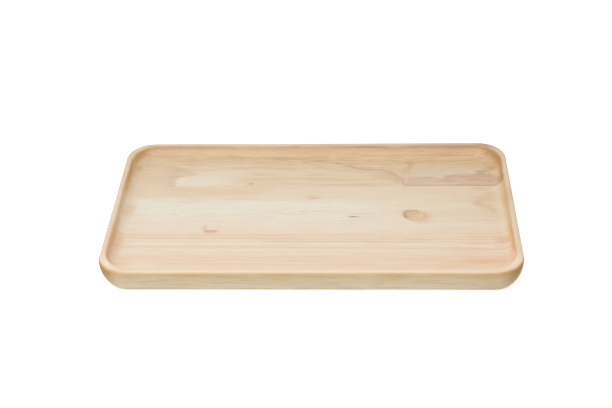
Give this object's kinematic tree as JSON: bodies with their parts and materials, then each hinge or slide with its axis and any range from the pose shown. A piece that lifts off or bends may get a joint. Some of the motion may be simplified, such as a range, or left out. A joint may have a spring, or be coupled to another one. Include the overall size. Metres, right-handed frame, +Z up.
{
  "type": "serving plate",
  "caption": "Rectangular wooden serving plate of edge-glued staves, with a coved dish, a rounded rim and sides that curve in to a flat base.",
  "frame": {"origin": "centre of the flat base, on the surface that the plate stands on", "axes": "+X along the length and the grain, +Y towards the rear long side, +Z up out of the dish"},
  "size_m": [0.3, 0.17, 0.02],
  "materials": {
    "tan_wood": "fine sanded, clear satin oil, tan heart side of the board with wavy growth rings",
    "cream_wood": "fine sanded, clear satin oil, pale cream with an oval knot",
    "pink_wood": "fine sanded, clear satin oil, straight pink-striped grain",
    "wood_glue": "cured amber wood adhesive, sanded flush"
  },
  "bodies": {
    "root": {"rear_stave": "tan_wood", "rear_glue_line": "wood_glue", "middle_stave": "cream_wood", "front_glue_line": "wood_glue", "front_stave": "pink_wood"}
  },
  "joints": []
}
